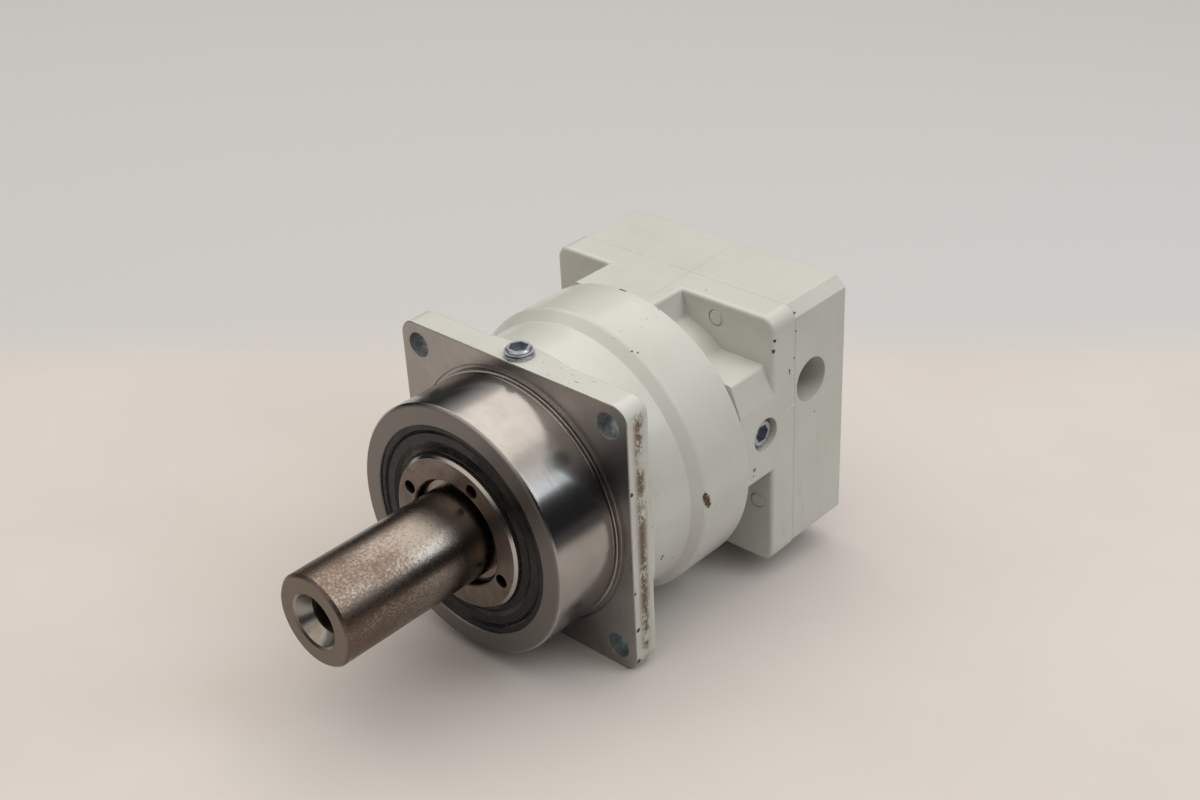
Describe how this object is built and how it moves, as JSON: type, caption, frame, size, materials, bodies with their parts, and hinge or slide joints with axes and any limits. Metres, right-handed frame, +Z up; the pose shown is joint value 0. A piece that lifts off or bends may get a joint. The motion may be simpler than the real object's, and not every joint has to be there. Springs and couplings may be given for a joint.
{
  "type": "planetary gearbox",
  "caption": "Inline planetary gearbox with a square mounting flange, plain output shaft, round painted body and a square motor end with a clamp hub.",
  "frame": {"origin": "centre of the mounting flange's front face, on the shaft axis", "axes": "the shaft axis is Y: -Y points out along the output shaft, +Y towards the motor, +Z up through the oil filler plug, +X towards the clamp screw's access hole"},
  "size_m": [0.1064, 0.2045, 0.1068],
  "materials": {
    "painted_body": "cream gloss paint behind the flange face, bare turned steel on the flange face and nose",
    "painted_block": "cream gloss paint over aluminium, with small chips",
    "painted_screw": "painted over",
    "shaft_steel": "ground steel with brown speckled staining",
    "nut_steel": "fine turned steel",
    "gear_steel": "ground tooth flanks, oiled",
    "bearing_steel": "polished",
    "cage_steel": "pressed sheet",
    "seal_rubber": "oily satin",
    "spring_steel": "phosphated",
    "plug_zinc": "blue zinc plated",
    "plug_washer": "soft, matte",
    "screw_steel": "black oxide",
    "hub_steel": "turned and oiled"
  },
  "bodies": {
    "housing": {"output_housing": "painted_body", "input_housing": "painted_block", "adapter_plate": "painted_block", "adapter_screws": "painted_screw", "ring_gear": "gear_steel", "front_bearing_outer_ring": "bearing_steel", "rear_bearing_outer_ring": "bearing_steel", "input_bearing_outer_ring": "bearing_steel", "output_seal": "seal_rubber", "input_seal": "seal_rubber", "housing_o_ring": "seal_rubber", "output_seal_spring": "spring_steel", "input_seal_spring": "spring_steel", "bearing_circlip": "spring_steel", "oil_filler_plug": "plug_zinc", "side_oil_plug": "plug_zinc", "filler_plug_washer": "plug_washer", "side_plug_washer": "plug_washer", "housing_screws": "screw_steel"},
    "output": {"output_shaft": "shaft_steel", "shaft_nut": "nut_steel", "front_bearing_inner_ring": "bearing_steel", "rear_bearing_inner_ring": "bearing_steel", "thrust_washers": "bearing_steel", "planet_pin_1": "bearing_steel", "planet_pin_2": "bearing_steel", "planet_pin_3": "bearing_steel"},
    "input": {"sun_gear": "gear_steel", "clamp_hub": "hub_steel", "clamp_collar": "hub_steel", "clamp_screw": "screw_steel", "input_bearing_inner_ring": "bearing_steel", "hub_circlip": "spring_steel"},
    "front_roller_set": {"front_bearing_rollers": "bearing_steel", "front_bearing_cage": "cage_steel"},
    "rear_roller_set": {"rear_bearing_rollers": "bearing_steel", "rear_bearing_cage": "cage_steel"},
    "ball_set": {"input_bearing_balls": "bearing_steel", "input_bearing_cage": "cage_steel"},
    "planet_1": {"planet_gear_1": "gear_steel"},
    "needle_set_1": {"needle_rollers_1": "bearing_steel", "needle_cage_1": "cage_steel"},
    "planet_2": {"planet_gear_2": "gear_steel"},
    "needle_set_2": {"needle_rollers_2": "bearing_steel", "needle_cage_2": "cage_steel"},
    "planet_3": {"planet_gear_3": "gear_steel"},
    "needle_set_3": {"needle_rollers_3": "bearing_steel", "needle_cage_3": "cage_steel"}
  },
  "joints": [
    {"name": "output_spin", "type": "hinge", "parent": "housing", "child": "output", "pos_m": [0, 0, 0], "axis": [0, 1, 0], "continuous": true},
    {"name": "input_spin", "type": "hinge", "parent": "housing", "child": "input", "pos_m": [0, 0.08, 0], "axis": [0, 1, 0], "continuous": true},
    {"name": "planet_1_spin", "type": "hinge", "parent": "output", "child": "planet_1", "pos_m": [0, 0.0415, 0.02531], "axis": [0, 1, 0], "continuous": true},
    {"name": "needle_set_1_spin", "type": "hinge", "parent": "output", "child": "needle_set_1", "pos_m": [0, 0.0415, 0.02531], "axis": [0, 1, 0], "continuous": true},
    {"name": "planet_2_spin", "type": "hinge", "parent": "output", "child": "planet_2", "pos_m": [-0.02192, 0.0415, -0.01266], "axis": [0, 1, 0], "continuous": true},
    {"name": "needle_set_2_spin", "type": "hinge", "parent": "output", "child": "needle_set_2", "pos_m": [-0.02192, 0.0415, -0.01266], "axis": [0, 1, 0], "continuous": true},
    {"name": "planet_3_spin", "type": "hinge", "parent": "output", "child": "planet_3", "pos_m": [0.02192, 0.0415, -0.01266], "axis": [0, 1, 0], "continuous": true},
    {"name": "needle_set_3_spin", "type": "hinge", "parent": "output", "child": "needle_set_3", "pos_m": [0.02192, 0.0415, -0.01266], "axis": [0, 1, 0], "continuous": true},
    {"name": "front_rollers_spin", "type": "hinge", "parent": "housing", "child": "front_roller_set", "pos_m": [0, -0.0065, 0], "axis": [0, 1, 0], "continuous": true},
    {"name": "rear_rollers_spin", "type": "hinge", "parent": "housing", "child": "rear_roller_set", "pos_m": [0, 0.0155, 0], "axis": [0, 1, 0], "continuous": true},
    {"name": "input_balls_spin", "type": "hinge", "parent": "housing", "child": "ball_set", "pos_m": [0, 0.07, 0], "axis": [0, 1, 0], "continuous": true}
  ],
  "couplings": [
    {"joint": "input_spin", "follows": "output_spin", "ratio": 5},
    {"joint": "planet_1_spin", "follows": "output_spin", "ratio": -2.6667},
    {"joint": "needle_set_1_spin", "follows": "output_spin", "ratio": -1.567},
    {"joint": "planet_2_spin", "follows": "output_spin", "ratio": -2.6667},
    {"joint": "needle_set_2_spin", "follows": "output_spin", "ratio": -1.567},
    {"joint": "planet_3_spin", "follows": "output_spin", "ratio": -2.6667},
    {"joint": "needle_set_3_spin", "follows": "output_spin", "ratio": -1.567},
    {"joint": "front_rollers_spin", "follows": "output_spin", "ratio": 0.4328},
    {"joint": "rear_rollers_spin", "follows": "output_spin", "ratio": 0.4572},
    {"joint": "input_balls_spin", "follows": "output_spin", "ratio": 2.0876}
  ]
}
